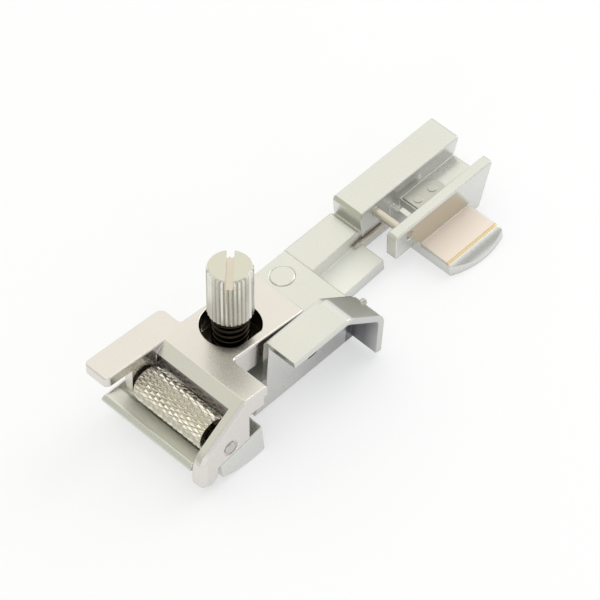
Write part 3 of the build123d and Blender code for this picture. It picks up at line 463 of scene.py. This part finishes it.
# Light tent: a skirt all round, dimmer at the front left, and above it cloth that dims from the left rear to
# the right front. These colours are linear light. The skirt's heights are sines of the angle above the floor
RIGHT_FRONT = (0.95, -0.31, 0.0)
FRONT_LEFT = (-0.4, -0.917, 0.0)
OVERHEAD = (0.0, 0.0, 1.0)
CLOTH = [
    (0.2, (1.0, 0.985, 0.91, 1)),
    (0.34, (0.72, 0.75, 0.64, 1)),
    (0.62, (0.46, 0.455, 0.44, 1)),
    (0.85, (0.45, 0.455, 0.46, 1)),
]
SKIRT, SKIRT_DIM = (0.87, 0.88, 0.87, 1), (0.55, 0.56, 0.48, 1)
SKIRT_ENDS, SKIRT_FULL = 0.5, 0.36
DIM_STARTS, DIM_FULL = 0.3, 0.95
TENT_STRENGTH = 1.1
world = bpy.data.worlds.new("light_tent")
bpy.context.scene.world = world
world.use_nodes = True
tree = world.node_tree
tree.nodes.clear()
path = node(tree, "ShaderNodeLightPath")
aim = node(tree, "ShaderNodeTexCoord").outputs["Generated"]
forward, sideways, high = (
    node(tree, "ShaderNodeVectorMath", {0: aim, 1: way}, operation="DOT_PRODUCT").outputs["Value"]
    for way in (RIGHT_FRONT, FRONT_LEFT, OVERHEAD)
)
round_tent = node(tree, "ShaderNodeMapRange", {"Value": forward, "From Min": -1.0, "From Max": 1.0})
cloth = node(tree, "ShaderNodeValToRGB", {"Fac": round_tent.outputs["Result"]})
stops = cloth.color_ramp.elements
stops[0].position, stops[1].position = CLOTH[0][0], CLOTH[-1][0]
for position, _ in CLOTH[1:-1]:
    stops.new(position)
for stop, (_, light) in zip(stops, CLOTH):
    stop.color = light
dim = node(tree, "ShaderNodeMapRange",
           {"Value": sideways, "From Min": DIM_STARTS, "From Max": DIM_FULL, "To Max": 1.0})
skirt = node(tree, "ShaderNodeMix", {"Factor": dim.outputs["Result"], "A": SKIRT, "B": SKIRT_DIM},
             data_type="RGBA")
hem = node(tree, "ShaderNodeMapRange",
           {"Value": high, "From Min": SKIRT_ENDS, "From Max": SKIRT_FULL, "To Max": 1.0})
walls = {"Factor": hem.outputs["Result"], "A": cloth.outputs["Color"], "B": skirt.outputs[2]}
tent = node(tree, "ShaderNodeMix", walls, data_type="RGBA")
around = node(tree, "ShaderNodeBackground", {"Color": tent.outputs[2], "Strength": TENT_STRENGTH})
white = node(tree, "ShaderNodeBackground", {"Color": linear("#FFFFFF"), "Strength": 1.0})
layers = {0: path.outputs["Is Camera Ray"], 1: around.outputs["Background"], 2: white.outputs["Background"]}
mixed = node(tree, "ShaderNodeMixShader", layers)
node(tree, "ShaderNodeOutputWorld", {"Surface": mixed.outputs["Shader"]})

# Lamps: a large weak one overhead, one at the rear that throws the shadow forward, and a small one at the
# right front for glints on the corners. Each row is a name, the way to it from the foot, its size in metres
# and its watts
LAMPS = [
    ("top_lamp", (0.12, -0.1, 0.98), 0.9, 1.7),
    ("rear_lamp", (0.1, 0.75, 0.65), 0.5, 1.7),
    ("front_lamp", (0.627, -0.722, 0.345), 0.1, 0.2),
]
LAMP_AIM = np.array([0.0, 0.02, 0.0])   # metres
LAMP_DISTANCE = 0.9   # metres
for name, toward, size, watts in LAMPS:
    lamp = bpy.data.lights.new(name, "AREA")
    lamp.size = size
    lamp.energy = watts
    panel = bpy.data.objects.new(name, lamp)
    bpy.context.scene.collection.objects.link(panel)
    direction = np.array(toward) / np.linalg.norm(toward)
    spot = Matrix.Translation((LAMP_AIM + LAMP_DISTANCE * direction).tolist())
    panel.matrix_world = spot @ Vector(direction.tolist()).to_track_quat("Z", "Y").to_matrix().to_4x4()

# Camera: the photograph's view, fitted to its straight edges
AZIMUTH, ELEVATION, ROLL = (math.radians(angle) for angle in (51.118, 50.817, -7.024))
CAMERA_AT = np.array([270.6, -199.8, 432.3])
LENS, SENSOR = 222.0, 36.0
level = np.array([math.cos(AZIMUTH), math.sin(AZIMUTH), 0.0])
sight = np.array([math.sin(AZIMUTH), -math.cos(AZIMUTH), 0.0]) * math.cos(ELEVATION)
sight[2] = math.sin(ELEVATION)
upright = np.cross(sight, level)
pose = np.eye(4)
pose[:3, 0] = level * math.cos(ROLL) + upright * math.sin(ROLL)
pose[:3, 1] = -level * math.sin(ROLL) + upright * math.cos(ROLL)
pose[:3, 2] = sight
pose[:3, 3] = CAMERA_AT * MM
lens = bpy.data.cameras.new("camera")
lens.lens, lens.sensor_width = LENS, SENSOR
camera = bpy.data.objects.new("camera", lens)
bpy.context.scene.collection.objects.link(camera)
camera.matrix_world = Matrix(pose.tolist())
bpy.context.scene.camera = camera
bpy.context.scene.view_settings.view_transform = "Standard"
